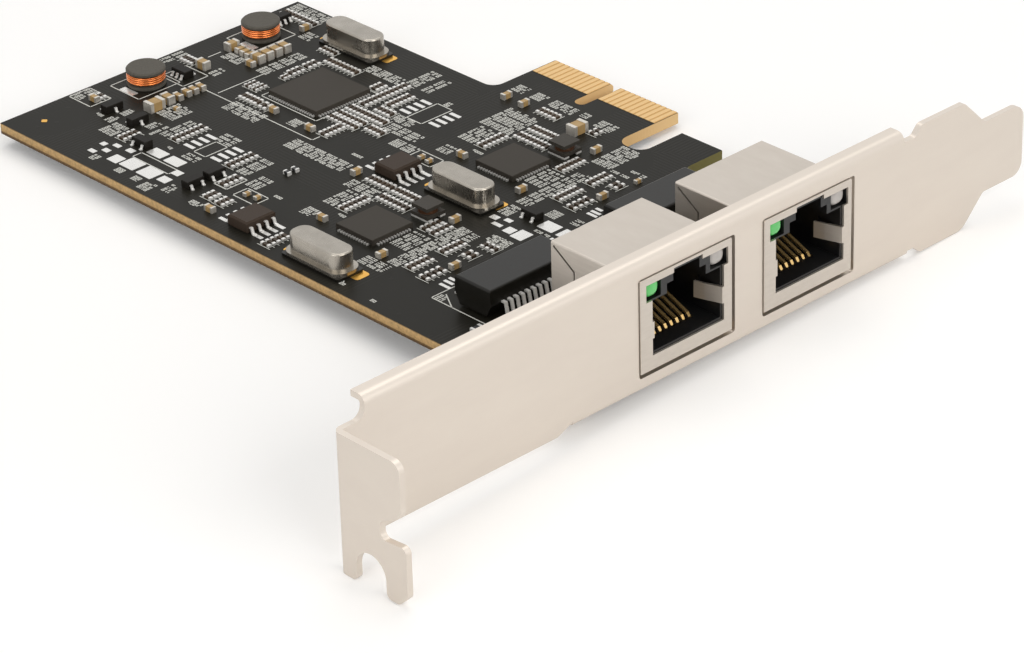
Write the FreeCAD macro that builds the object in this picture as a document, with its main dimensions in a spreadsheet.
import FreeCAD
import Part
import math
import os
import re
import Sketcher

# A low-profile network interface card with its full-height slot bracket, lying component side up.
# The origin is the middle of the key notch at the finger edge, halfway through the board.
# +X runs out through the bracket, +Y runs into the slot, +Z points out of the component side.
# Sizes are in millimetres.

SIZES = {
    # circuit board
    "board_thickness": 1.6,
    "board_height": 66.75,
    "board_far_end": 53.45,
    "board_gap": 0.45,
    "shoulder_drop": 12.4,
    "finger_reach": 12.1,
    "key_width": 1.9,
    "key_depth": 8.0,
    "slot_width": 4.7,
    "hook_width": 7.55,
    "hook_drop": 4.5,
    "leg_width": 12.2,
    "leg_drop": 6.9,
    "edge_bevel": 0.45,
    "mount_hole_radius": 1.6,
    # gold edge contacts
    "contact_pitch": 1.0,
    "contact_first": 1.5,
    "contact_width": 0.7,
    "contact_end": 5.0,
    "contact_plate": 0.06,
    # bracket, a folded sheet
    "bracket_face": 59.05,
    "sheet": 0.86,
    "tab_to_edge": 103.8,
    "window_margin": 2.5,
    "plate_drop": 2.07,
    "tongue_width": 10.19,
    "tongue_length": 7.7,
    "tongue_corner": 1.9,
    "slope_run": 4.1,
    "slope_corner": 2.6,
    "end_plate": 9.52,
    "bend_radius": 1.2,
    "lower_bend_radius": 0.6,
    "inner_radius": 0.34,
    "flange_depth": 2.4,
    "flange_start": 4.4,
    "corner_sweep": 1.5,
    "relief_width": 2.1,
    "relief_slant": 1.2,
    "relief_margin": 0.15,
    "lower_overrun": 1.0,
    "lower_relief_run": 2.7,
    "lug_margin": 0.3,
    "lug_reach": 11.2,
    "lug_width": 5.0,
    "lug_hole_setback": 8.35,
    "collar_radius": 2.2,
    "collar_drop": 1.0,
    "tab_depth": 11.1,
    "tab_step": 0.6,
    "tab_shoulder": 2.85,
    "tab_width": 19.05,
    "tab_corner": 1.4,
    "tab_leg_chamfer": 1.5,
    "leg_corner": 0.8,
    "screw_slot_width": 5.1,
    "screw_slot_setback": 4.9,
    "screw_slot_depth": 4.75,
    "side_notch_drop": 9.05,
    "side_notch_width": 2.3,
    "side_notch_setback": 6.8,
    "side_notch_rise": 0.4,
    "side_notch_flare": 2.0,
    "side_notch_corner": 0.9,
    # bracket screws
    "screw_radius": 1.45,
    "screw_fit": 0.05,
    "screw_head_radius": 2.7,
    "screw_head_height": 1.8,
    "screw_length": 5.2,
    # network jacks
    "jack_width": 16.0,
    "jack_height": 12.95,
    "jack_depth": 15.45,
    "jack_side": 55.05,
    "jack_pitch": 21.8,
    "jack_proud": 0.2,
    "shield_wall": 0.3,
    "window_near_gap": 0.1,
    "window_far_gap": 0.75,
    "window_low_gap": 0.7,
    "port_left": 2.1,
    "port_width": 12.5,
    "port_floor": 1.95,
    "light_margin_left": 1.05,
    "light_margin_right": 0.65,
    "light_drop": 3.35,
    "light_window": 2.37,
    "key_port_width": 5.0,
    "key_port_margin": 0.35,
    "finger_low": 4.3,
    "finger_height": 2.3,
    "finger_length": 3.8,
    "finger_reach_in": 1.2,
    "finger_room": 0.2,
    "housing_fit": 0.05,
    "plug_width": 11.8,
    "plug_floor": 2.3,
    "plug_depth": 11.3,
    "latch_width": 6.8,
    "latch_drop": 2.25,
    "latch_key_width": 4.6,
    "latch_key_margin": 0.85,
    "light_width": 2.75,
    "light_height": 2.65,
    "light_length": 8.5,
    "light_fit": 0.05,
    "light_ledge": 0.25,
    "light_nose": 0.9,
    "seam_width": 0.22,
    "seam_top": 0.65,
    "seam_run": 3.6,
    "seam_drop": 2.4,
    "seam_fall": 1.5,
    "wire_pitch": 1.02,
    "wire_width": 0.42,
    "wire_thickness": 0.3,
    "wire_slot_width": 0.62,
    "wire_run_height": 1.2,
    "wire_tail_row": 10.2,
    "wire_row_gap": 2.54,
    "wire_front": 3.5,
    "wire_tip_back": 9.6,
    "wire_tip_height": 5.0,
    "tail_below": 1.2,
    "tail_hole_radius": 0.45,
    "peg_setback": 6.4,
    "peg_spread": 11.43,
    "peg_radius": 1.55,
    "peg_hole_radius": 1.63,
    "peg_below": 0.9,
    "shield_leg_setback": 9.2,
    "shield_leg_width": 1.2,
    "shield_leg_below": 1.1,
    "leg_slot_fit": 0.2,
    # magnetics modules
    "magnetics_x": 32.85,
    "magnetics_y": -50.9,
    "magnetics_pitch": 26.3,
    "magnetics_length": 15.0,
    "magnetics_width": 6.65,
    "magnetics_height": 4.2,
    "magnetics_lift": 0.3,
    "magnetics_lead_pitch": 1.0,
    "magnetics_lead_height": 2.0,
    "magnetics_lead_width": 0.45,
    "magnetics_lead_thickness": 0.25,
    # flat chips with solder lands round their foot
    "chip_height": 0.9,
    "bridge_side": 10.0,
    "bridge_x": -27.95,
    "bridge_y": -30.6,
    "lan_side": 7.1,
    "lan_x": 7.1,
    "lan_y": -51.9,
    "lan_pitch": 25.0,
    "land_pitch": 0.5,
    "land_width": 0.26,
    "land_reach": 0.38,
    "land_height": 0.24,
    # crystals
    "crystal_length": 11.2,
    "crystal_width": 4.6,
    "crystal_flange": 0.45,
    "crystal_step": 0.5,
    "crystal_height": 3.4,
    "crystal_seat": 0.4,
    "crystal_x": 9.2,
    "crystal_edge": 3.9,
    "crystal_pitch": 24.95,
    "clock_x": -35.25,
    "clock_y": -17.35,
    # drum inductors
    "drum_radius": 2.8,
    "drum_height": 2.7,
    "drum_cheek": 0.5,
    "drum_waist": 1.5,
    "drum_winding_radius": 2.5,
    "drum_base": 0.2,
    "drum_x": -48.35,
    "drum_y": -44.9,
    "drum_pitch": 21.15,
    # small square chokes
    "choke_side": 3.2,
    "choke_height": 1.9,
    "choke_cheek": 0.5,
    "choke_waist": 0.9,
    "choke_winding_radius": 1.35,
    "choke_terminal": 0.28,
    "choke_x": 9.4,
    "choke_y": -44.5,
    # eight-lead memory chips
    "memory_length": 4.9,
    "memory_width": 3.9,
    "memory_height": 1.6,
    "memory_lift": 0.12,
    "memory_lead_pitch": 1.27,
    "memory_lead_width": 0.42,
    "memory_lead_reach": 1.05,
    "memory_one_x": -2.85,
    "memory_one_y": -38.65,
    "memory_two_x": -5.7,
    "memory_two_edge": 4.75,
    "small_lead_thickness": 0.16,
    # transistors and regulators
    "transistor_length": 2.9,
    "transistor_width": 1.35,
    "transistor_height": 1.1,
    "regulator_width": 1.6,
    "transistor_lead_pitch": 0.95,
    "transistor_lead_width": 0.38,
    "transistor_lead_reach": 0.6,
}

doc = FreeCAD.newDocument("network_interface_card")
sheet = doc.addObject("Spreadsheet::Sheet", "Sizes")
for row, (name, size) in enumerate(SIZES.items(), start=1):
    sheet.set("A%d" % row, name)
    sheet.set("B%d" % row, str(size))
    sheet.setAlias("B%d" % row, name)
workings = doc.addObject("Spreadsheet::Sheet", "Workings")
doc.recompute()


# Places worked out from the sizes, each written once and used by every piece that meets there.
BOARD_TOP = "board_thickness / 2"
BOARD_NEAR = "(bracket_face - sheet - board_gap)"
TAB_FACE = "(-tab_to_edge)"
WINDOW_LOW = "(board_thickness / 2 - window_low_gap)"
WINDOW_HIGH = "(board_thickness / 2 + jack_height + window_near_gap)"
PLATE_TOP = "(board_thickness / 2 + jack_height + window_near_gap + window_margin)"
PLATE_BOTTOM = "(-plate_drop)"
PLATE_MIDDLE = "((board_thickness / 2 + jack_height + window_near_gap + window_margin - plate_drop) / 2)"
TAB_TOP = "(board_thickness / 2 + jack_height + window_near_gap + window_margin - tab_shoulder)"
LUG_BOTTOM = "(-board_thickness / 2 - sheet)"
LUG_START = "(lug_margin - board_height)"
FLANGE_END = "(-leg_drop - lug_margin)"
HOOK_END = "(finger_reach + slot_width + hook_width)"
FIRST_SCREW = "(lug_margin - board_height + lug_width / 2)"
SECOND_SCREW = "(-leg_drop - lug_margin - lug_width / 2)"
SCREW_X = "(bracket_face - lug_hole_setback)"
JACK_FRONT = "(bracket_face + jack_proud)"
PORT_MIDDLE = "(port_left + port_width / 2)"
LIGHT_FLOOR = "(jack_height - light_drop)"
LIGHT_ROOF = "(jack_height - light_drop + light_window)"


def formula(text):
    """The same expression with each size read from the sheet."""
    return re.sub(r"[a-z_]+", lambda word: ("Sizes." if word.group() in SIZES else "") + word.group(), text)


def number(text):
    """The value of an expression in sizes, worked out in a cell of a second sheet."""
    workings.set("A1", "=" + formula(text))
    workings.recompute()
    return float(workings.get("A1"))


def bind(thing, path, text):
    thing.setExpression(path, formula(text))


def new_body(label, x="0", y="0", z="0"):
    body = doc.addObject("PartDesign::Body", label)
    body.Label = label
    bind(body, "Placement.Base.x", x)
    bind(body, "Placement.Base.y", y)
    bind(body, "Placement.Base.z", z)
    return body


def origin_feature(body, role):
    return next(part for part in body.Origin.OriginFeatures if part.Role == role)


def new_sketch(body, plane, offset):
    """An empty sketch on one of the body's planes, moved along that plane's axis by offset."""
    sketch = body.newObject("Sketcher::SketchObject", body.Label + "_sketch")
    sketch.AttachmentSupport = (origin_feature(body, plane + "_Plane"), [""])
    sketch.MapMode = "FlatFace"
    if plane == "XZ":
        offset = "-(%s)" % offset
    bind(sketch, "AttachmentOffset.Base.z", offset)
    return sketch


def tie(sketch, ties, start):
    """Adds constraints together, then lets those from start on follow their expressions."""
    sketch.addConstraint([constraint for constraint, text in ties])
    for index, (constraint, text) in enumerate(ties):
        if text:
            sketch.setExpression("Constraints[%d]" % (start + index), formula(text))


def add_outline(sketch, points):
    """A closed outline of straight lines through points, each a pair of expressions."""
    places = [FreeCAD.Vector(number(x), number(y), 0) for x, y in points]
    first = sketch.GeometryCount
    count = len(points)
    lines = [Part.LineSegment(places[i], places[(i + 1) % count]) for i in range(count)]
    sketch.addGeometry(lines, False)
    ties = []
    for i, (x, y) in enumerate(points):
        ties.append((Sketcher.Constraint("Coincident", first + i, 2, first + (i + 1) % count, 1), None))
        ties.append((Sketcher.Constraint("DistanceX", -1, 1, first + i, 1, places[i].x), x))
        ties.append((Sketcher.Constraint("DistanceY", -1, 1, first + i, 1, places[i].y), y))
    tie(sketch, ties, sketch.ConstraintCount)


def add_rectangle(sketch, low_x, low_y, high_x, high_y):
    add_outline(sketch, [(low_x, low_y), (high_x, low_y), (high_x, high_y), (low_x, high_y)])


def add_circle(sketch, x, y, radius):
    place = FreeCAD.Vector(number(x), number(y), 0)
    circle = sketch.addGeometry(Part.Circle(place, FreeCAD.Vector(0, 0, 1), number(radius)), False)
    tie(sketch, [
        (Sketcher.Constraint("DistanceX", -1, 1, circle, 3, place.x), x),
        (Sketcher.Constraint("DistanceY", -1, 1, circle, 3, place.y), y),
        (Sketcher.Constraint("Radius", circle, number(radius)), radius),
    ], sketch.ConstraintCount)


def pad(body, sketch, length, backwards=False):
    feature = body.newObject("PartDesign::Pad", body.Label + "_pad")
    feature.Profile = sketch
    bind(feature, "Length", length)
    feature.Reversed = backwards
    doc.recompute()
    return feature


def pocket(body, sketch, length, backwards=False):
    """Cuts along the sketch's normal, or against it when backwards, and checks that it did cut."""
    before = body.Shape.Volume
    feature = body.newObject("PartDesign::Pocket", body.Label + "_pocket")
    feature.Profile = sketch
    bind(feature, "Length", length)
    feature.Reversed = not backwards
    doc.recompute()
    if feature.Shape.Volume >= before:
        raise ValueError(feature.Label + " removes nothing")
    return feature


def edges_along(body, direction, places, span=None):
    """Names of the body's straight edges along direction that pass over one of places, and reach span
    if it is given, a distance along direction."""
    names = []
    for index, edge in enumerate(body.Shape.Edges, start=1):
        if edge.Curve.TypeId != "Part::GeomLine":
            continue
        if abs(abs(edge.Curve.Direction.dot(direction)) - 1) > 1e-6:
            continue
        ends = [body.Placement.inverse().multVec(vertex.Point) for vertex in edge.Vertexes]
        low, high = sorted(end.dot(direction) for end in ends)
        if span is not None and not low < span < high:
            continue
        flat = ends[0] - direction * ends[0].dot(direction)
        if any((flat - (place - direction * place.dot(direction))).Length < 0.02 for place in places):
            names.append("Edge%d" % index)
    return names


def dress(body, kind, names, size):
    """Adds a fillet or a chamfer on the named edges."""
    base = body.Tip
    feature = body.newObject("PartDesign::" + kind, body.Label + "_" + kind.lower())
    feature.Base = (base, names)
    bind(feature, "Radius" if kind == "Fillet" else "Size", size)
    doc.recompute()
    return feature


def round_edges(body, axis, places, radius, span=None):
    """Rounds the edges along axis that pass through places, given as pairs of expressions."""
    direction = FreeCAD.Vector(*[float(letter == axis) for letter in "XYZ"])
    order = {"X": lambda a, b: (0, a, b), "Y": lambda a, b: (a, 0, b), "Z": lambda a, b: (a, b, 0)}[axis]
    points = [FreeCAD.Vector(*order(number(a), number(b))) for a, b in places]
    return dress(body, "Fillet", edges_along(body, direction, points, span), radius)


def top_edges(body, height):
    """Names of the edges that lie flat at a height."""
    names = []
    for index, edge in enumerate(body.Shape.Edges, start=1):
        box = edge.BoundBox
        base = body.Placement.Base.z
        if abs(box.ZMin - base - height) < 0.01 and abs(box.ZMax - base - height) < 0.01:
            names.append("Edge%d" % index)
    return names


def group(label, solids, x="0", y="0", z="0"):
    """One sub-part made of like solids that stand apart from each other."""
    part = doc.addObject("Part::Feature", label)
    part.Label = label
    part.Shape = Part.makeCompound(solids)
    part.Placement.Base = FreeCAD.Vector(number(x), number(y), number(z))
    return part


def block(x, y, z, length, width, height):
    """A box centred on x and y that stands on z."""
    corner = FreeCAD.Vector(x - length / 2, y - width / 2, z)
    return Part.makeBox(length, width, height, corner)


def bent_strip(path, thickness, width):
    """A strip folded along path, points in the XZ plane, as wide as width about y = 0."""
    points = [FreeCAD.Vector(x, 0, z) for x, z in path]
    sides = []
    for side in (0.5, -0.5):
        shifted = []
        for i, point in enumerate(points):
            before = (point - points[i - 1]).normalize() if i else None
            after = (points[i + 1] - point).normalize() if i + 1 < len(points) else None
            before = before or after
            after = after or before
            normals = [FreeCAD.Vector(-run.z, 0, run.x) for run in (before, after)]
            middle = (normals[0] + normals[1]).normalize()
            shifted.append(point + middle * (side * thickness / middle.dot(normals[0])))
        sides.append(shifted)
    outline = sides[0] + sides[1][::-1]
    start = FreeCAD.Vector(0, -width / 2, 0)
    face = Part.Face(Part.makePolygon([point + start for point in outline + outline[:1]]))
    return face.extrude(FreeCAD.Vector(0, width, 0))


def moved(shape, x, y, turn=0, z=0):
    """A copy of shape turned about Z by turn degrees, then moved."""
    copy = shape.copy()
    copy.rotate(FreeCAD.Vector(0, 0, 0), FreeCAD.Vector(0, 0, 1), turn)
    copy.translate(FreeCAD.Vector(x, y, z))
    return copy


# Circuit board: one sheet of glass-epoxy, routed to its outline and drilled.
board = new_body("circuit_board")
outline = new_sketch(board, "XY", "-board_thickness / 2")
add_outline(outline, [
    ("-board_far_end", "-board_height"),
    (BOARD_NEAR, "-board_height"),
    (BOARD_NEAR, "-leg_drop"),
    (BOARD_NEAR + " - leg_width", "-leg_drop"),
    (BOARD_NEAR + " - leg_width", "-shoulder_drop"),
    (HOOK_END, "-shoulder_drop"),
    (HOOK_END, "-hook_drop"),
    ("finger_reach + slot_width", "-hook_drop"),
    ("finger_reach + slot_width", "-shoulder_drop"),
    ("finger_reach", "-shoulder_drop"),
    ("finger_reach", "0"),
    ("key_width / 2", "0"),
    ("key_width / 2", "-key_depth"),
    ("-key_width / 2", "-key_depth"),
    ("-key_width / 2", "0"),
    ("-finger_reach", "0"),
    ("-finger_reach", "-shoulder_drop"),
    ("-board_far_end", "-shoulder_drop"),
])
pad(board, outline, "board_thickness")
round_edges(board, "Z", [("key_width / 2", "-key_depth"), ("-key_width / 2", "-key_depth")],
            "key_width * 0.48")
round_edges(board, "Z", [("finger_reach", "-shoulder_drop"),
                         ("finger_reach + slot_width", "-shoulder_drop"),
                         (HOOK_END, "-shoulder_drop"), (BOARD_NEAR + " - leg_width", "-shoulder_drop"),
                         ("-finger_reach", "-shoulder_drop")], "slot_width * 0.4")
finger_ends = []
for reach in ("-finger_reach", "finger_reach"):
    finger_ends.append(FreeCAD.Vector(number(reach), 0, 0))
dress(board, "Chamfer", edges_along(board, FreeCAD.Vector(0, 0, 1), finger_ends), "edge_bevel")
finger_edges = [FreeCAD.Vector(0, 0, number(BOARD_TOP)), FreeCAD.Vector(0, 0, -number(BOARD_TOP))]
dress(board, "Chamfer", edges_along(board, FreeCAD.Vector(1, 0, 0), finger_edges), "edge_bevel")

holes = new_sketch(board, "XY", "-board_thickness / 2")
for screw in (FIRST_SCREW, SECOND_SCREW):
    add_circle(holes, SCREW_X, screw, "mount_hole_radius")
pocket(board, holes, "board_thickness")

jack_holes = new_sketch(board, "XY", "-board_thickness / 2")
WIRE_COUNT = 8
for wire in range(WIRE_COUNT):
    across = "%s - jack_side + wire_pitch * %.1f" % (PORT_MIDDLE, wire - (WIRE_COUNT - 1) / 2)
    back = "wire_tail_row + wire_row_gap * %d" % (wire % 2)
    add_circle(jack_holes, "%s - (%s)" % (JACK_FRONT, back), across, "tail_hole_radius")
for side in ("-", "+"):
    add_circle(jack_holes, JACK_FRONT + " - peg_setback",
               "%s - jack_side %s peg_spread / 2" % (PORT_MIDDLE, side), "peg_hole_radius")
for inner in ("0", "jack_width - shield_wall"):
    add_rectangle(jack_holes, JACK_FRONT + " - shield_leg_setback - shield_leg_width / 2 - leg_slot_fit",
                  "%s - jack_side - leg_slot_fit" % inner,
                  JACK_FRONT + " - shield_leg_setback + shield_leg_width / 2 + leg_slot_fit",
                  "%s - jack_side + shield_wall + leg_slot_fit" % inner)
first_jack = pocket(board, jack_holes, "board_thickness")
second_jack = board.newObject("PartDesign::LinearPattern", "circuit_board_pattern")
second_jack.Originals = [first_jack]
second_jack.Direction = (origin_feature(board, "Y_Axis"), [""])
bind(second_jack, "Length", "jack_pitch")
second_jack.Occurrences = 2
board.Tip = second_jack
doc.recompute()

# Edge contacts: gold plates in line on both faces of the board's finger edge.
CONTACTS_A_SIDE = 11
contacts = []
contact_run = number("contact_end - edge_bevel")
contact_middle = -number("contact_end + edge_bevel") / 2
for face in (number(BOARD_TOP), -number(BOARD_TOP + " + contact_plate")):
    for index in range(CONTACTS_A_SIDE):
        offset = number("contact_first + contact_pitch * %d" % index)
        for x in (offset, -offset):
            contacts.append(block(x, contact_middle, face, number("contact_width"), contact_run,
                                  number("contact_plate")))
group("edge_contacts", contacts)

# Bracket: one steel sheet. The plate carries the port windows, with a stiffening flange folded back
# along the top, a flange with two threaded lugs folded under the board, a tab folded outward at one
# end for the case screw, and a narrow tongue at the other.
bracket = new_body("bracket")
face = new_sketch(bracket, "YZ", "bracket_face")
SLOPE_START = FLANGE_END + " + relief_width + end_plate"
TONGUE_ROOT = SLOPE_START + " + slope_run"
TONGUE_END = TONGUE_ROOT + " + tongue_length"
TONGUE_LOW = PLATE_MIDDLE + " - tongue_width / 2"
TONGUE_HIGH = PLATE_MIDDLE + " + tongue_width / 2"
FLANGE_START = "(flange_start - tab_to_edge)"
RELIEF_TOP = PLATE_TOP + " - bend_radius - relief_margin"
RELIEF_LOW = "(-board_thickness / 2 - sheet + lower_bend_radius + relief_margin / 3)"
LOWER_END = FLANGE_END + " + lower_overrun"
add_outline(face, [
    (TAB_FACE, PLATE_BOTTOM),
    (LUG_START + " - lower_relief_run", PLATE_BOTTOM),
    (LUG_START + " - relief_margin", RELIEF_LOW),
    (LUG_START, RELIEF_LOW),
    (LUG_START, LUG_BOTTOM),
    (LOWER_END, LUG_BOTTOM),
    (LOWER_END, RELIEF_LOW),
    (LOWER_END + " + relief_slant", RELIEF_LOW),
    (LOWER_END + " + 2 * relief_slant", PLATE_BOTTOM),
    (SLOPE_START, PLATE_BOTTOM),
    (TONGUE_ROOT, TONGUE_LOW),
    (TONGUE_END, TONGUE_LOW),
    (TONGUE_END, TONGUE_HIGH),
    (TONGUE_ROOT, TONGUE_HIGH),
    (SLOPE_START, PLATE_TOP),
    (FLANGE_END + " + relief_width + relief_slant", PLATE_TOP),
    (FLANGE_END + " + relief_width", RELIEF_TOP),
    (FLANGE_END, RELIEF_TOP),
    (FLANGE_END, PLATE_TOP),
    (FLANGE_START, PLATE_TOP),
    (FLANGE_START, TAB_TOP),
    (TAB_FACE, TAB_TOP),
])
pad(bracket, face, "sheet", backwards=True)

FLANGE_BACK = "(bracket_face - flange_depth)"
upper_flange = new_sketch(bracket, "XY", PLATE_TOP)
add_rectangle(upper_flange, FLANGE_BACK, FLANGE_START, "bracket_face", FLANGE_END)
pad(bracket, upper_flange, "sheet", backwards=True)

lower_flange = new_sketch(bracket, "XY", LUG_BOTTOM)
LUG_TIP = "(bracket_face - lug_reach)"
add_outline(lower_flange, [
    ("bracket_face", LUG_START),
    ("bracket_face", LOWER_END),
    (FLANGE_BACK, LOWER_END),
    (FLANGE_BACK, FLANGE_END),
    (LUG_TIP, FLANGE_END),
    (LUG_TIP, FLANGE_END + " - lug_width"),
    (FLANGE_BACK, FLANGE_END + " - lug_width"),
    (FLANGE_BACK, LUG_START + " + lug_width"),
    (LUG_TIP, LUG_START + " + lug_width"),
    (LUG_TIP, LUG_START),
])
pad(bracket, lower_flange, "sheet")

tab = new_sketch(bracket, "XZ", TAB_FACE)
TAB_BOTTOM = TAB_TOP + " - tab_width"
TAB_EDGE = "(bracket_face + tab_depth)"
UPPER_EDGE = "(bracket_face + tab_depth - tab_step)"
NOTCH_HIGH = TAB_TOP + " - side_notch_drop"
NOTCH_LOW = NOTCH_HIGH + " - side_notch_width"
NOTCH_MIDDLE = NOTCH_HIGH + " - side_notch_width / 2"
add_outline(tab, [
    ("bracket_face - sheet", TAB_BOTTOM),
    (TAB_EDGE + " - tab_leg_chamfer", TAB_BOTTOM),
    (TAB_EDGE, TAB_BOTTOM + " + tab_leg_chamfer"),
    (TAB_EDGE, NOTCH_MIDDLE),
    (UPPER_EDGE, NOTCH_MIDDLE),
    (UPPER_EDGE, TAB_TOP),
    ("bracket_face - sheet", TAB_TOP),
])
pad(bracket, tab, "sheet", backwards=True)

collars = new_sketch(bracket, "XY", LUG_BOTTOM + " - collar_drop")
for screw in (FIRST_SCREW, SECOND_SCREW):
    add_circle(collars, SCREW_X, screw, "collar_radius")
pad(bracket, collars, "collar_drop + sheet")
threads = new_sketch(bracket, "XY", LUG_BOTTOM + " - collar_drop")
for screw in (FIRST_SCREW, SECOND_SCREW):
    add_circle(threads, SCREW_X, screw, "screw_radius + screw_fit")
pocket(bracket, threads, "collar_drop + sheet")

windows = new_sketch(bracket, "YZ", "bracket_face")
window_corners = []
for jack in ("0", "jack_pitch"):
    near = "%s - jack_side - window_near_gap" % jack
    far = "%s - jack_side + jack_width + window_far_gap" % jack
    add_rectangle(windows, near, WINDOW_LOW, far, WINDOW_HIGH)
    for corner in (near, far):
        window_corners.extend([(corner, WINDOW_LOW), (corner, WINDOW_HIGH)])
pocket(bracket, windows, "sheet", backwards=True)

screw_slot = new_sketch(bracket, "XZ", TAB_FACE)
SLOT_X = "(bracket_face + screw_slot_setback)"
SLOT_Z = TAB_BOTTOM + " + screw_slot_depth - screw_slot_width / 2"
add_rectangle(screw_slot, SLOT_X + " - screw_slot_width / 2", TAB_BOTTOM + " - 1",
              SLOT_X + " + screw_slot_width / 2", SLOT_Z)
pocket(bracket, screw_slot, "sheet", backwards=True)
slot_end = new_sketch(bracket, "XZ", TAB_FACE)
add_circle(slot_end, SLOT_X, SLOT_Z, "screw_slot_width / 2")
pocket(bracket, slot_end, "sheet", backwards=True)

side_notch = new_sketch(bracket, "XZ", TAB_FACE)
NOTCH_IN = "(bracket_face + side_notch_setback)"
add_outline(side_notch, [
    (NOTCH_IN, NOTCH_LOW),
    (TAB_EDGE, NOTCH_LOW + " + side_notch_rise"),
    (TAB_EDGE + " + tab_step", NOTCH_LOW + " + side_notch_rise"),
    (TAB_EDGE + " + tab_step", NOTCH_HIGH + " + side_notch_flare"),
    (UPPER_EDGE, NOTCH_HIGH + " + side_notch_flare"),
    (NOTCH_IN, NOTCH_HIGH),
])
pocket(bracket, side_notch, "sheet", backwards=True)

round_edges(bracket, "X", window_corners, "sheet * 0.5")
round_edges(bracket, "X", [(TONGUE_END, TONGUE_LOW), (TONGUE_END, TONGUE_HIGH)], "tongue_corner")
round_edges(bracket, "X", [(SLOPE_START, PLATE_BOTTOM)], "slope_corner")
round_edges(bracket, "X", [(SLOPE_START, PLATE_TOP),
                           (TONGUE_ROOT, TONGUE_LOW),
                           (TONGUE_ROOT, TONGUE_HIGH),
                           (LUG_START + " - lower_relief_run", PLATE_BOTTOM),
                           (LOWER_END + " + 2 * relief_slant", PLATE_BOTTOM),
                           (FLANGE_END + " + relief_width + relief_slant", PLATE_TOP)], "sheet")
round_edges(bracket, "X", [(FLANGE_START, TAB_TOP)], "corner_sweep")
round_edges(bracket, "X", [(FLANGE_END + " + relief_width", RELIEF_TOP)], "relief_width * 0.4")
round_edges(bracket, "Y", [(UPPER_EDGE, TAB_TOP),
                           (UPPER_EDGE, NOTCH_HIGH + " + side_notch_flare")], "tab_corner")
round_edges(bracket, "Y", [(NOTCH_IN, NOTCH_LOW), (NOTCH_IN, NOTCH_HIGH)], "side_notch_corner")
round_edges(bracket, "Y", [(TAB_EDGE, NOTCH_LOW + " + side_notch_rise"),
                           (TAB_EDGE, TAB_BOTTOM + " + tab_leg_chamfer"),
                           (TAB_EDGE + " - tab_leg_chamfer", TAB_BOTTOM),
                           (SLOT_X + " + screw_slot_width / 2", TAB_BOTTOM),
                           (SLOT_X + " - screw_slot_width / 2", TAB_BOTTOM)], "leg_corner")
round_edges(bracket, "Z", [(LUG_TIP, FLANGE_END), (LUG_TIP, FLANGE_END + " - lug_width"),
                           (LUG_TIP, LUG_START + " + lug_width"), (LUG_TIP, LUG_START)],
            "lug_width * 0.3")
round_edges(bracket, "Z", [(FLANGE_BACK, FLANGE_END + " - lug_width"),
                           (FLANGE_BACK, LUG_START + " + lug_width")], "sheet")
flange_middle = number(FLANGE_START + " / 2 + " + FLANGE_END + " / 2")
round_edges(bracket, "Y", [("bracket_face", PLATE_TOP)], "bend_radius", flange_middle)
round_edges(bracket, "Y", [("bracket_face", LUG_BOTTOM)], "lower_bend_radius", flange_middle)
round_edges(bracket, "Z", [("bracket_face - sheet", TAB_FACE)], "bend_radius")
round_edges(bracket, "Y", [("bracket_face - sheet", PLATE_TOP + " - sheet")], "inner_radius",
            flange_middle)
round_edges(bracket, "Z", [("bracket_face", TAB_FACE + " + sheet")], "inner_radius")

# Bracket screws: pan heads that clamp the board to the lugs, each with a cross recess.
head_bottom = number(BOARD_TOP)
head_radius = number("screw_head_radius")
head_height = number("screw_head_height")
shank = Part.makeCylinder(number("screw_radius"), number("screw_length"),
                          FreeCAD.Vector(0, 0, head_bottom - number("screw_length")))
head = Part.makeCylinder(head_radius, head_height, FreeCAD.Vector(0, 0, head_bottom))
head = head.makeFillet(head_height * 0.45, [edge for edge in head.Edges
                                            if edge.BoundBox.ZMin > head_bottom + head_height - 0.01])
arm = block(0, 0, head_bottom + head_height * 0.4, head_radius * 1.1, head_radius * 0.22, head_height)
recess = arm.fuse(moved(arm, 0, 0, 90))
screw = head.fuse(shank).cut(recess)
group("bracket_screws", [moved(screw, number(SCREW_X), number(y)) for y in (FIRST_SCREW, SECOND_SCREW)])


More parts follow.
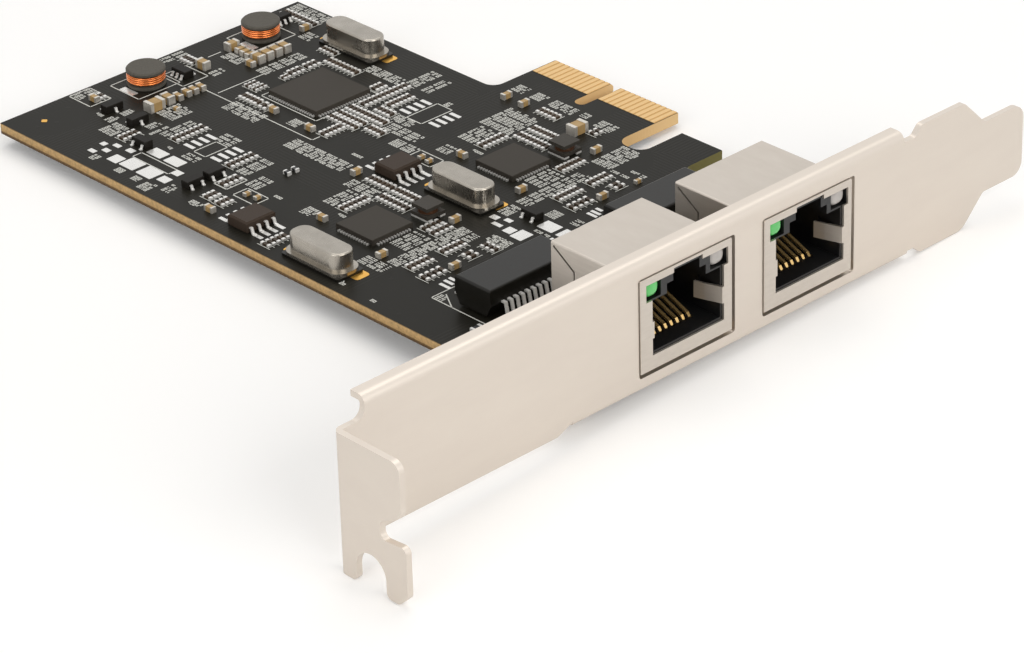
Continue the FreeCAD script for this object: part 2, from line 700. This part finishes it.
def build_shield(label, x, y, z):
    """Jack shield: a box of thin tinned sheet, open below, with the port cut in its front."""
    body = new_body(label, x, y, z)
    outside = new_sketch(body, "YZ", "0")
    add_rectangle(outside, "0", "0", "jack_width", "jack_height")
    pad(body, outside, "jack_depth", backwards=True)
    inside = new_sketch(body, "XY", "0")
    add_rectangle(inside, "shield_wall - jack_depth", "shield_wall",
                  "-shield_wall", "jack_width - shield_wall")
    pocket(body, inside, "jack_height - shield_wall")
    port = new_sketch(body, "YZ", "0")
    port_right = "port_left + port_width"
    light_right = "jack_width - light_margin_right"
    key_left = PORT_MIDDLE + " - key_port_width / 2"
    key_right = PORT_MIDDLE + " + key_port_width / 2"
    key_roof = "jack_height - key_port_margin"
    add_outline(port, [
        ("port_left", "port_floor"),
        (port_right, "port_floor"),
        (port_right, LIGHT_FLOOR),
        (light_right, LIGHT_FLOOR),
        (light_right, LIGHT_ROOF),
        (key_right, LIGHT_ROOF),
        (key_right, key_roof),
        (key_left, key_roof),
        (key_left, LIGHT_ROOF),
        ("light_margin_left", LIGHT_ROOF),
        ("light_margin_left", LIGHT_FLOOR),
        ("port_left", LIGHT_FLOOR),
    ])
    pocket(body, port, "shield_wall", backwards=True)
    fingers = new_sketch(body, "XY", "finger_low")
    for edge, inward in (("port_left", "+"), (port_right, "-")):
        outward = "-" if inward == "+" else "+"
        add_outline(fingers, [
            ("0", "%s %s 0.1" % (edge, outward)),
            ("-shield_wall", "%s %s 0.1" % (edge, outward)),
            ("-finger_length * 0.6", "%s %s finger_reach_in * 0.65" % (edge, inward)),
            ("-finger_length", "%s %s finger_reach_in" % (edge, inward)),
            ("-finger_length", "%s %s (finger_reach_in + shield_wall)" % (edge, inward)),
            ("-finger_length * 0.6", "%s %s (finger_reach_in * 0.65 + shield_wall)" % (edge, inward)),
            ("0", "%s %s shield_wall" % (edge, inward)),
        ])
    pad(body, fingers, "finger_height")
    legs = new_sketch(body, "XY", "shield_wall")
    for inner in ("0", "jack_width - shield_wall"):
        add_rectangle(legs, "-shield_leg_setback - shield_leg_width / 2", inner,
                      "-shield_leg_setback + shield_leg_width / 2", inner + " + shield_wall")
    pad(body, legs, "shield_wall + board_thickness + shield_leg_below", backwards=True)
    seam = new_sketch(body, "XZ", "0")
    seam_back = "-jack_depth + shield_wall"
    seam_high = "jack_height - seam_top"
    add_outline(seam, [
        (seam_back, seam_high),
        (seam_back + " + seam_run", seam_high + " - seam_drop"),
        (seam_back + " + seam_run", seam_high + " - seam_drop - seam_fall"),
        (seam_back + " + seam_run + seam_width", seam_high + " - seam_drop - seam_fall"),
        (seam_back + " + seam_run + seam_width", seam_high + " - seam_drop + seam_width"),
        (seam_back + " + seam_width", seam_high + " + seam_width"),
    ])
    pocket(body, seam, "shield_wall", backwards=True)
    round_edges(body, "X", [("0", "jack_height"), ("jack_width", "jack_height")], "shield_wall * 0.8")
    return body


def build_housing(label, x, y, z):
    """Jack housing: a dark moulded block that fills the shield, with the stepped plug cavity, the two
    pockets for the lights, eight slots for the contact wires and two pegs into the board."""
    body = new_body(label, x, y, z)
    block_face = new_sketch(body, "YZ", "-shield_wall - housing_fit")
    add_rectangle(block_face, "shield_wall + housing_fit", "0",
                  "jack_width - shield_wall - housing_fit", "jack_height - shield_wall - housing_fit")
    pad(body, block_face, "jack_depth - 2 * shield_wall - 2 * housing_fit", backwards=True)
    cavity = new_sketch(body, "YZ", "-shield_wall - housing_fit")
    half_steps = (("plug_width", LIGHT_FLOOR + " - light_ledge"), ("latch_width", "jack_height - latch_drop"),
                  ("latch_key_width", "jack_height - latch_key_margin"))
    right = [(PORT_MIDDLE + " + plug_width / 2", "plug_floor")]
    left = [(PORT_MIDDLE + " - plug_width / 2", "plug_floor")]
    for i, (width, roof) in enumerate(half_steps):
        for points, sign in ((right, "+"), (left, "-")):
            points.append(("%s %s %s / 2" % (PORT_MIDDLE, sign, width), roof))
            if i + 1 < len(half_steps):
                points.append(("%s %s %s / 2" % (PORT_MIDDLE, sign, half_steps[i + 1][0]), roof))
    add_outline(cavity, right + left[::-1])
    pocket(body, cavity, "plug_depth", backwards=True)
    finger_pockets = new_sketch(body, "YZ", "-shield_wall - housing_fit")
    add_rectangle(finger_pockets, "port_left - finger_room", "finger_low - finger_room",
                  "port_left + port_width + finger_room", "finger_low + finger_height + finger_room")
    pocket(body, finger_pockets, "finger_length", backwards=True)
    lights = new_sketch(body, "YZ", "-shield_wall - housing_fit")
    light_starts = ("light_margin_left", "jack_width - light_margin_right - light_width - 2 * light_fit")
    for start in light_starts:
        add_rectangle(lights, start, LIGHT_FLOOR, start + " + light_width + 2 * light_fit",
                      LIGHT_FLOOR + " + light_height + 2 * light_fit")
    pocket(body, lights, "light_length", backwards=True)
    slots = new_sketch(body, "XY", "0")
    for wire in range(WIRE_COUNT):
        middle = "%s + wire_pitch * %.1f" % (PORT_MIDDLE, wire - (WIRE_COUNT - 1) / 2)
        add_rectangle(slots, "-wire_tail_row - wire_row_gap - wire_slot_width",
                      middle + " - wire_slot_width / 2",
                      "-wire_front + wire_slot_width",
                      middle + " + wire_slot_width / 2")
    pocket(body, slots, "plug_floor")
    pegs = new_sketch(body, "XY", "port_floor")
    for side in ("-", "+"):
        add_circle(pegs, "-peg_setback", "%s %s peg_spread / 2" % (PORT_MIDDLE, side), "peg_radius")
    pad(body, pegs, "port_floor + board_thickness + peg_below", backwards=True)
    return body


def build_wires(label, x, y, z):
    """Contact wires: each rises through the board, runs forward under the floor, turns at the front
    and slopes back up into the port."""
    thickness = number("wire_thickness")
    run = number("wire_run_height")
    front = -number("wire_front")
    solids = []
    for wire in range(WIRE_COUNT):
        tail = -number("wire_tail_row + wire_row_gap * %d" % (wire % 2))
        path = [
            (tail, -number("board_thickness + tail_below")),
            (tail, run),
            (front - thickness, run),
            (front, run + thickness),
            (front, run + thickness * 3),
            (front - thickness, run + thickness * 4.5),
            (-number("wire_tip_back"), number("wire_tip_height")),
        ]
        strip = bent_strip(path, thickness, number("wire_width"))
        middle = number("%s + wire_pitch * %.1f" % (PORT_MIDDLE, wire - (WIRE_COUNT - 1) / 2))
        solids.append(moved(strip, 0, middle))
    return group(label, solids, x, y, z)


def build_light(label, start, x, y, z):
    """Light: a square bar of tinted plastic with a rounded nose."""
    body = new_body(label, x, y, z)
    nose = new_sketch(body, "YZ", "-shield_wall - housing_fit")
    add_rectangle(nose, start + " + light_fit", LIGHT_FLOOR + " + light_fit",
                  start + " + light_fit + light_width", LIGHT_FLOOR + " + light_fit + light_height")
    pad(body, nose, "light_length", backwards=True)
    corners = [(start + " + light_fit" + across, LIGHT_FLOOR + " + light_fit" + up)
               for across in ("", " + light_width") for up in ("", " + light_height")]
    round_edges(body, "X", corners, "light_height * 0.45")
    front = number("-shield_wall - housing_fit") + body.Placement.Base.x
    names = ["Edge%d" % index for index, edge in enumerate(body.Shape.Edges, start=1)
             if edge.BoundBox.XMin > front - 0.01]
    dress(body, "Fillet", names, "light_nose")
    return body


for jack in (1, 2):
    place = (JACK_FRONT, "jack_pitch * %d - jack_side" % (jack - 1), BOARD_TOP)
    build_shield("jack_shield_%d" % jack, *place)
    build_housing("jack_housing_%d" % jack, *place)
    build_wires("jack_wires_%d" % jack, *place)
    build_light("jack_light_green_%d" % jack, "light_margin_left", *place)
    build_light("jack_light_clear_%d" % jack,
                "jack_width - light_margin_right - light_width - 2 * light_fit", *place)


def gull_lead(body_half, height, reach, thickness, width):
    """One bent lead that leaves the body's side at a height and ends in a flat foot on the board."""
    shoulder = reach * 0.3
    return bent_strip([
        (body_half, height),
        (body_half + shoulder, height),
        (body_half + reach * 0.5, thickness / 2),
        (body_half + reach, thickness / 2),
    ], thickness, width)


def lead_row(lead, count, pitch):
    """Leads side by side about the middle, on the +X side."""
    return [moved(lead, 0, pitch * (i - (count - 1) / 2)) for i in range(count)]


# Magnetics modules: black moulded blocks whose sides slope in above and below the row of leads.
MAGNETICS_LEADS = 12
for module in (1, 2):
    place = ("magnetics_x", "magnetics_y + magnetics_pitch * %d" % (module - 1), BOARD_TOP)
    body = new_body("magnetics_body_%d" % module, *place)
    section = new_sketch(body, "XZ", "-magnetics_length / 2")
    add_outline(section, [
        ("-magnetics_width / 2 + 0.9", "magnetics_lift"),
        ("magnetics_width / 2 - 0.9", "magnetics_lift"),
        ("magnetics_width / 2", "magnetics_lead_height"),
        ("magnetics_width / 2", "magnetics_lead_height + magnetics_lead_thickness"),
        ("magnetics_width / 2 - 0.15", "magnetics_height"),
        ("-magnetics_width / 2 + 0.15", "magnetics_height"),
        ("-magnetics_width / 2", "magnetics_lead_height + magnetics_lead_thickness"),
        ("-magnetics_width / 2", "magnetics_lead_height"),
    ])
    pad(body, section, "magnetics_length", backwards=True)
    dress(body, "Fillet", top_edges(body, number("magnetics_height")), "magnetics_lift")
    lead = gull_lead(number("magnetics_width / 2"),
                     number("magnetics_lead_height + magnetics_lead_thickness / 2"),
                     number("magnetics_lead_height"), number("magnetics_lead_thickness"),
                     number("magnetics_lead_width"))
    row = lead_row(lead, MAGNETICS_LEADS, number("magnetics_lead_pitch"))
    leads = row + [moved(solid, 0, 0, 180) for solid in row]
    group("magnetics_leads_%d" % module, leads, *place)


def build_flat_chip(label, side, lands, x, y):
    """A flat square package and the solder lands that stand out round its foot."""
    body = new_body(label, x, y, BOARD_TOP)
    footprint = new_sketch(body, "XY", "0")
    add_rectangle(footprint, "-%s / 2" % side, "-%s / 2" % side, "%s / 2" % side, "%s / 2" % side)
    pad(body, footprint, "chip_height")
    dress(body, "Chamfer", top_edges(body, number("chip_height")), "land_height * 0.3")
    reach = number("land_reach")
    middle = number(side + " / 2") + reach / 2
    land = block(middle, 0, 0, reach, number("land_width"), number("land_height"))
    row = lead_row(land, lands, number("land_pitch"))
    solids = [moved(solid, 0, 0, turn) for turn in (0, 90, 180, 270) for solid in row]
    group(label + "_lands", solids, x, y, BOARD_TOP)


# Bridge chip and the two network controllers.
BRIDGE_LANDS = 19
LAN_LANDS = 12
build_flat_chip("bridge_chip", "bridge_side", BRIDGE_LANDS, "bridge_x", "bridge_y")
build_flat_chip("lan_chip_1", "lan_side", LAN_LANDS, "lan_x", "lan_y")
build_flat_chip("lan_chip_2", "lan_side", LAN_LANDS, "lan_x", "lan_y + lan_pitch")


def centred_corners(length, width):
    """The four corners of a rectangle about the body's own axis."""
    return [("%s(%s) / 2" % (a, length), "%s(%s) / 2" % (b, width)) for a in ("-", "") for b in ("-", "")]


def centred_bar(body, foot, length, width, height):
    """A pad on a rectangle about the body's own axis."""
    sketch = new_sketch(body, "XY", foot)
    add_rectangle(sketch, *centred_corners(length, width)[0], *centred_corners(length, width)[3])
    return pad(body, sketch, height)


# Crystals: a drawn steel can welded to a flange, on a black plastic seat.
CRYSTAL_PLACES = [("clock_x", "clock_y"), ("crystal_x", "crystal_edge - board_height + crystal_pitch"),
                  ("crystal_x", "crystal_edge - board_height")]
CAN_LENGTH = "crystal_length - 2 * crystal_step"
CAN_WIDTH = "crystal_width - 2 * crystal_step"
for index, (x, y) in enumerate(CRYSTAL_PLACES, start=1):
    foot = centred_corners("crystal_length", "crystal_width")
    seat = new_body("crystal_seat_%d" % index, x, y, BOARD_TOP)
    centred_bar(seat, "0", "crystal_length", "crystal_width", "crystal_seat")
    round_edges(seat, "Z", foot, "crystal_step")
    can = new_body("crystal_can_%d" % index, x, y, BOARD_TOP)
    centred_bar(can, "crystal_seat", CAN_LENGTH, CAN_WIDTH, "crystal_height - crystal_seat")
    round_edges(can, "Z", centred_corners(CAN_LENGTH, CAN_WIDTH), "crystal_width * 0.35")
    centred_bar(can, "crystal_seat", "crystal_length", "crystal_width", "crystal_flange")
    round_edges(can, "Z", foot, "crystal_width * 0.4")
    dress(can, "Fillet", top_edges(can, number("crystal_height")), "crystal_step * 0.6")


def revolve(body, points):
    """A ring or drum turned about the body's Z axis from a half section in X and Z."""
    section = new_sketch(body, "XZ", "0")
    add_outline(section, points)
    feature = body.newObject("PartDesign::Revolution", body.Label + "_turn")
    feature.Profile = section
    feature.ReferenceAxis = (origin_feature(body, "Z_Axis"), [""])
    feature.Angle = 360
    doc.recompute()
    return feature


# Drum inductors: a dark ferrite spool with a copper winding in its waist.
DRUM_PLACES = [("drum_x", "drum_y"), ("drum_x", "drum_y + drum_pitch")]
for index, (x, y) in enumerate(DRUM_PLACES, start=1):
    core = new_body("inductor_core_%d" % index, x, y, BOARD_TOP)
    revolve(core, [
        ("0", "0"),
        ("drum_radius - drum_base", "0"),
        ("drum_radius - drum_base", "drum_base"),
        ("drum_radius", "drum_base"),
        ("drum_radius", "drum_cheek"),
        ("drum_waist", "drum_cheek + drum_base"),
        ("drum_waist", "drum_height - drum_cheek - drum_base"),
        ("drum_radius", "drum_height - drum_cheek"),
        ("drum_radius", "drum_height - drum_base"),
        ("drum_radius - drum_base", "drum_height"),
        ("0", "drum_height"),
    ])
    winding = new_body("inductor_winding_%d" % index, x, y, BOARD_TOP)
    revolve(winding, [
        ("drum_waist", "drum_cheek + drum_base"),
        ("drum_winding_radius", "drum_cheek + drum_base"),
        ("drum_winding_radius + drum_base / 2", "drum_height / 2"),
        ("drum_winding_radius", "drum_height - drum_cheek - drum_base"),
        ("drum_waist", "drum_height - drum_cheek - drum_base"),
    ])

# Small chokes: a square-cheeked ferrite spool, its winding, and a metal terminal at two ends.
for index, y in enumerate(("choke_y", "choke_y + lan_pitch"), start=1):
    place = ("choke_x", y, BOARD_TOP)
    core = new_body("choke_core_%d" % index, *place)
    centred_bar(core, "choke_terminal", "choke_side", "choke_side", "choke_cheek")
    waist = new_sketch(core, "XY", "choke_terminal")
    add_circle(waist, "0", "0", "choke_waist")
    pad(core, waist, "choke_height - choke_terminal")
    centred_bar(core, "choke_height - choke_cheek", "choke_side * 0.94", "choke_side * 0.94", "choke_cheek")
    winding = new_body("choke_winding_%d" % index, *place)
    revolve(winding, [
        ("choke_waist", "choke_terminal + choke_cheek"),
        ("choke_winding_radius", "choke_terminal + choke_cheek"),
        ("choke_winding_radius", "choke_height - choke_cheek"),
        ("choke_waist", "choke_height - choke_cheek"),
    ])
    side = number("choke_side")
    strip = block(0, -side * 0.36, 0, side, side * 0.28, number("choke_terminal"))
    group("choke_terminals_%d" % index, [strip, moved(strip, 0, 0, 180)], *place)


def moulded_chip(length, width, lift, height):
    """A small black package whose top edges slope in slightly."""
    shape = block(0, 0, lift, width, length, height - lift)
    rim = [edge for edge in shape.Edges if edge.BoundBox.ZMin > height - 0.01]
    return shape.makeChamfer(min(width, length) * 0.06, rim)


# Memory chips with four bent leads on each long side.
MEMORY_PLACES = [("memory_one_x", "memory_one_y"), ("memory_two_x", "memory_two_edge - board_height")]
memory_body = moulded_chip(number("memory_length"), number("memory_width"), number("memory_lift"),
                           number("memory_height"))
memory_lead = gull_lead(number("memory_width / 2"), number("memory_height / 2"),
                        number("memory_lead_reach"),
                        number("small_lead_thickness"), number("memory_lead_width"))
memory_row = lead_row(memory_lead, 4, number("memory_lead_pitch"))
memory_leads = memory_row + [moved(lead, 0, 0, 180) for lead in memory_row]
for index, (x, y) in enumerate(MEMORY_PLACES, start=1):
    group("memory_chip_%d" % index, [memory_body.copy()], x, y, BOARD_TOP)
    group("memory_leads_%d" % index, [lead.copy() for lead in memory_leads], x, y, BOARD_TOP)

# Transistors: two leads on one long side and one on the other. Turn 0 puts the pair on the -X side.
TRANSISTOR_PLACES = [(-45.35, -53.5, 0), (-39.65, -53.6, 0), (-33.85, -57.5, 90),
                     (-19.7, -60.35, 180), (-19.6, -56.7, 180), (19.75, -35.5, 90)]
transistor_body = moulded_chip(number("transistor_length"), number("transistor_width"), 0.05,
                               number("transistor_height"))
transistor_lead = gull_lead(number("transistor_width / 2"), number("transistor_height / 2"),
                            number("transistor_lead_reach"), number("small_lead_thickness"),
                            number("transistor_lead_width"))
far_row = lead_row(transistor_lead, 2, number("transistor_lead_pitch * 2"))
transistor_leads = [transistor_lead] + [moved(lead, 0, 0, 180) for lead in far_row]
bodies = [moved(transistor_body, x, y, turn) for x, y, turn in TRANSISTOR_PLACES]
group("transistors", bodies, z=BOARD_TOP)
group("transistor_leads", [moved(lead, x, y, turn) for x, y, turn in TRANSISTOR_PLACES
                           for lead in transistor_leads], z=BOARD_TOP)

# Regulators: the same small package with three leads on each long side.
REGULATOR_PLACES = [(-46.7, -39.7, 90), (-50.1, -18.6, 0)]
regulator_body = moulded_chip(number("transistor_length"), number("regulator_width"), 0.05,
                              number("transistor_height"))
regulator_lead = gull_lead(number("regulator_width / 2"), number("transistor_height / 2"),
                           number("transistor_lead_reach"), number("small_lead_thickness"),
                           number("transistor_lead_width"))
regulator_row = lead_row(regulator_lead, 3, number("transistor_lead_pitch"))
regulator_leads = regulator_row + [moved(lead, 0, 0, 180) for lead in regulator_row]
group("regulators", [moved(regulator_body, x, y, turn) for x, y, turn in REGULATOR_PLACES], z=BOARD_TOP)
group("regulator_leads", [moved(lead, x, y, turn) for x, y, turn in REGULATOR_PLACES
                          for lead in regulator_leads], z=BOARD_TOP)


def chip_part(length, width, height, x, y, turn):
    """The middle and the two metal ends of a chip capacitor or resistor, as separate solids."""
    end = length * 0.22
    middle = block(0, 0, 0, length - 2 * end, width * 0.96, height * 0.94)
    ends = [block(side * (length - end) / 2, 0, 0, end, width, height) for side in (-1, 1)]
    return moved(middle, x, y, turn), [moved(solid, x, y, turn) for solid in ends]


# Ceramic capacitors and chip resistors, each with its length, width, height, place and turn.
LARGE = (2.6, 1.7, 1.4)
WIDE = (2.0, 1.2, 1.2)
MEDIUM = (1.6, 0.8, 0.8)
SMALL = (1.1, 0.6, 0.5)
CAPACITOR_PLACES = [
    (LARGE, 6.3, -14.1, 90), (MEDIUM, 12.4, -16.5, 90), (MEDIUM, 13.4, -31.4, 90),
    (MEDIUM, 13.5, -56.4, 90), (MEDIUM, 13.3, -43.3, 90), (MEDIUM, -49.4, -53.4, 0),
    (MEDIUM, -6.3, -43.1, 90), (MEDIUM, -20.7, -38.7, 0), (MEDIUM, -28.6, -38.5, 0),
    (MEDIUM, 0.3, -29.9, 0), (MEDIUM, 0.3, -55.0, 0), (SMALL, -3.3, -34.0, 90),
    (SMALL, -1.7, -34.1, 90), (SMALL, -12.2, -57.3, 90), (SMALL, -10.4, -57.0, 90),
    (MEDIUM, -8.4, -13.4, 90), (MEDIUM, -4.9, -13.4, 90), (SMALL, 22.8, -19.0, 90),
    (MEDIUM, 22.6, -25.4, 90), (MEDIUM, 22.6, -52.0, 90), (MEDIUM, -12.3, -63.6, 0),
    (WIDE, -46.4, -36.2, 0), (WIDE, -48.2, -29.4, 90), (MEDIUM, -46.5, -29.2, 90),
    (MEDIUM, -45.3, -29.3, 90), (MEDIUM, -44.1, -29.4, 90), (MEDIUM, -42.1, -31.1, 0),
    (WIDE, -42.3, -29.5, 0), (WIDE, -42.3, -27.9, 0), (WIDE, -42.3, -26.3, 0),
    (WIDE, -42.3, -24.7, 0), (LARGE, -41.2, -49.3, 90), (WIDE, -41.5, -46.7, 0),
    (MEDIUM, -41.3, -45.0, 0), (MEDIUM, -41.4, -43.4, 0), (MEDIUM, -41.3, -42.2, 0),
    (MEDIUM, -41.3, -40.9, 0), (SMALL, -38.8, -47.4, 0), (MEDIUM, -45.4, -18.0, 90),
]
RESISTOR_PLACES = [
    (SMALL, -12.9, -48.2, 0), (SMALL, -12.9, -49.6, 0),
    (MEDIUM, 36.9, -61.6, 90), (MEDIUM, 40.0, -38.0, 90),
]
for label, places in (("capacitor", CAPACITOR_PLACES), ("resistor", RESISTOR_PLACES)):
    middles = []
    ends = []
    for (length, width, height), x, y, turn in places:
        middle, pair_of_ends = chip_part(length, width, height, x, y, turn)
        middles.append(middle)
        ends.extend(pair_of_ends)
    group(label + "s", middles, z=BOARD_TOP)
    group(label + "_ends", ends, z=BOARD_TOP)

doc.recompute()

sub_parts = [item for item in doc.Objects if item.TypeId in ("PartDesign::Body", "Part::Feature")]
sub_parts = [item for item in sub_parts if not item.getParentGeoFeatureGroup()]
for item in doc.Objects:
    if "Invalid" in item.State or "Error" in item.State:
        raise ValueError(item.Label + " did not build")
for part in sub_parts:
    if part.Shape.isNull() or not part.Shape.isValid():
        raise ValueError(part.Label + " has no valid shape")

os.makedirs("parts", exist_ok=True)
for part in sub_parts:
    part.Shape.exportStep("parts/%s.step" % part.Label)
    print(part.Label, len(part.Shape.Solids), round(part.Shape.Volume, 2))
